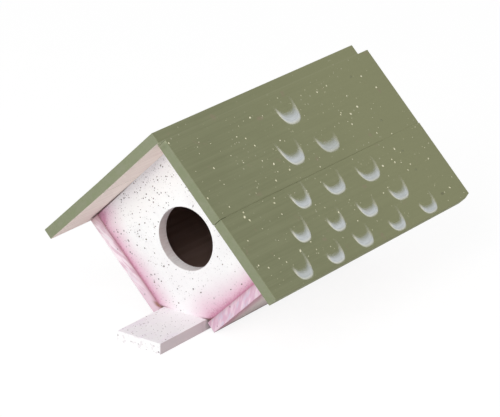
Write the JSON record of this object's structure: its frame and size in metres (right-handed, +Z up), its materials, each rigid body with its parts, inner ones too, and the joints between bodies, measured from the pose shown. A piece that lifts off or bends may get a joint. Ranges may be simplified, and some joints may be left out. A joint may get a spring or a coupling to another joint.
{
  "type": "birdhouse",
  "caption": "Painted wooden birdhouse: square box of nailed boards stood on its corner, round entrance, ridged plank roof, and a floor plank running out as a perch.",
  "frame": {"origin": "middle of the floor plank's underside, straight below the ridge", "axes": "+Z up, -Y the way the entrance and the perch look, +X to the right seen from the front"},
  "size_m": [0.1575, 0.2207, 0.1253],
  "materials": {
    "roof_paint": "matt sage green paint on softwood, spattered with cream specks",
    "panel_paint": "matt white paint on softwood with dark specks and pink shading",
    "wall_paint": "thin pink wash on softwood, grain showing",
    "brad_steel": "plain bright steel, painted over where it shows"
  },
  "bodies": {
    "root": {"front_panel": "panel_paint", "back_panel": "panel_paint", "left_wall": "wall_paint", "right_wall": "wall_paint", "floor_perch": "panel_paint", "roof_left_upper": "roof_paint", "roof_left_lower": "roof_paint", "roof_right_upper": "roof_paint", "roof_right_lower": "roof_paint", "roof_left_brads": "brad_steel", "roof_right_brads": "brad_steel", "ridge_brads": "brad_steel", "left_wall_brads": "brad_steel", "right_wall_brads": "brad_steel", "floor_brads": "brad_steel"}
  },
  "joints": []
}
